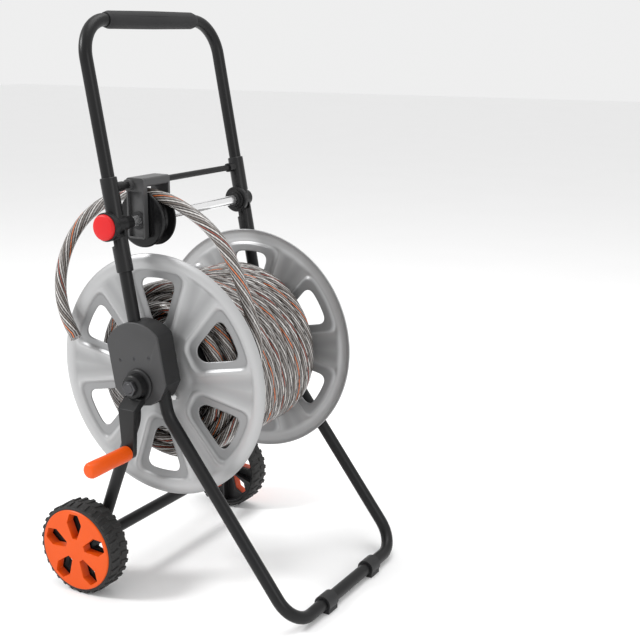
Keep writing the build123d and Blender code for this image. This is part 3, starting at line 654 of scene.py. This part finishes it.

# The free end leaves the pack upwards, runs over the guide roller and hangs down behind the reel,
# cut square.
free_route = [
    (155, -105, -10), (161.5, -104.5, 32), (162.5, -104, 72), (153, -103, 108), (139, -101.5, 143),
    (124.5, -99.5, 174), (105, -97.5, 206), (77, -96, 234), (42, -95, 256), (2, -95, 273.5),
    (-38, -95, 280.5), (-80, -95.5, 279.5), (-119, -96.5, 266), (-152, -99, 246), (-177, -104.5, 221),
    (-193.5, -113.5, 190), (-198.5, -126, 157), (-193.5, -139, 124), (-180.5, -149.5, 94),
    (-164.5, -155.5, 70), (-148.3, -157.5, 47.5),
]
free_hose, free_path, free_length = hose_tube("free_hose", [spot(*point) for point in free_route], 12, 4)
paint(hose, free_hose)
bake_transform(free_hose)
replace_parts(free_hose, "hose_free")


# ==== Crank =======================================================================================
# A flat cranked black arm on the end of the shaft, held by a blackened nut, with an orange grip that
# turns on a pin at its end.
arm_plastic = Finish("satin_black_casting", specular_ior_level=0.26)
arm_cloud = arm_plastic.noise(30.0, 4.0, 0.55)
arm_plastic.set(
    base_color=arm_plastic.mix(arm_cloud, (0.007, 0.007, 0.0073), (0.014, 0.014, 0.0145)),
    roughness=0.28 + arm_cloud * 0.14,
)
arm_plastic.bump(arm_plastic.noise(1300.0, 2.0), 0.00004, 0.6)
softened(arm_plastic, 0.0011, "crank_arm")
softened(dark_steel, 0.0004, "crank_nut")
paint(dark_steel, "crank_shaft")
softened(orange_plastic, 0.0012, "crank_grip")


# ==== Water inlet =================================================================================
# A black plastic nipple with a hexagon and a latch groove, screwed into the far housing.
softened(black_plastic, 0.0006, "inlet_connector")
seal_rubber = Finish("seal_rubber", specular_ior_level=0.35)
bloom = seal_rubber.noise(60.0, 3.0)
seal_rubber.set(base_color=seal_rubber.mix(bloom, (0.010, 0.010, 0.010), (0.02, 0.02, 0.02)),
                roughness=0.5 + bloom * 0.2)
seal_rubber.bump(seal_rubber.noise(900.0, 2.0), 0.00003, 0.5)
paint(seal_rubber, "inlet_seal")


# ==== Folding knuckles ============================================================================
# Two glass-filled nylon mouldings on each side tube meet in a lap joint at the guide rod. The red
# button on the crank side frees the handle, so that it folds back, and squeezes a zinc-plated spring.
softened(arm_plastic, 0.0009, "lower_knuckle_right", "lower_knuckle_left", "upper_knuckle_right",
         "upper_knuckle_left")
red_plastic = Finish("red_moulded_plastic", specular_ior_level=0.28)
thumb = red_plastic.noise(40.0, 4.0)
red_plastic.set(
    base_color=red_plastic.mix(thumb, (0.60, 0.013, 0.015), (0.53, 0.010, 0.012)),
    roughness=0.34 + thumb * 0.15,
)
red_plastic.bump(red_plastic.noise(1200.0, 2.0), 0.00003, 0.6)
softened(red_plastic, 0.0008, "release_button")
button_spring = bpy.data.objects.new("button_coil_spring", nodes["button_spring"].data.copy())
bpy.context.scene.collection.objects.link(button_spring)
paint(zinc, button_spring)
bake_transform(button_spring)
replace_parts(button_spring, "button_spring")


# ==== Handle grip =================================================================================
# A sleeve of foamed rubber pulled over the top bar.
foam = Finish("foam_grip", specular_ior_level=0.3)
pores = foam.noise(1600.0, 4.0, 0.7)
worn = foam.noise(20.0, 4.0)
foam.set(base_color=foam.mix(worn, (0.014, 0.014, 0.015), (0.028, 0.028, 0.029)), roughness=0.6 + worn * 0.15)
foam.bump(pores, 0.00018, 0.9)
softened(foam, 0.0012, "handle_grip")


# ==== Hose guide ==================================================================================
# A grooved roller turns on a sleeve that slides along the polished rod. Its bracket reaches up to
# the cross bar, so that it stays upright while it slides.
polished_rod = Finish("polished_rod", metallic=0.9)
lathe = polished_rod.noise(160.0, 3.0)
polished_rod.set(
    base_color=polished_rod.mix(lathe, (0.86, 0.86, 0.87), (0.93, 0.93, 0.93)),
    roughness=0.13 + lathe * 0.1,
)
polished_rod.bump(polished_rod.noise(500.0, 2.0), 0.00002, 0.4)
paint(polished_rod, "guide_rod")
gloss_plastic = Finish("gloss_black_plastic", specular_ior_level=0.32)
scuff = gloss_plastic.noise(35.0, 5.0, 0.6)
gloss_plastic.set(
    base_color=gloss_plastic.mix(scuff, (0.005, 0.005, 0.0053), (0.010, 0.010, 0.0105)),
    roughness=0.16 + scuff * 0.16,
)
gloss_plastic.bump(gloss_plastic.noise(700.0, 2.0), 0.00003, 0.5)
softened(gloss_plastic, 0.0012, "guide_roller")
softened(black_plastic, 0.0005, "guide_sleeve")
bracket_plastic = Finish("dark_grey_plastic", specular_ior_level=0.5)
bracket_cloud = bracket_plastic.noise(30.0, 4.0)
bracket_plastic.set(
    base_color=bracket_plastic.mix(bracket_cloud, (0.040, 0.040, 0.041), (0.062, 0.062, 0.063)),
    roughness=0.32 + bracket_cloud * 0.14,
)
bracket_plastic.bump(bracket_plastic.noise(1300.0, 2.0), 0.00004, 0.6)
softened(bracket_plastic, 0.0009, "guide_bracket")
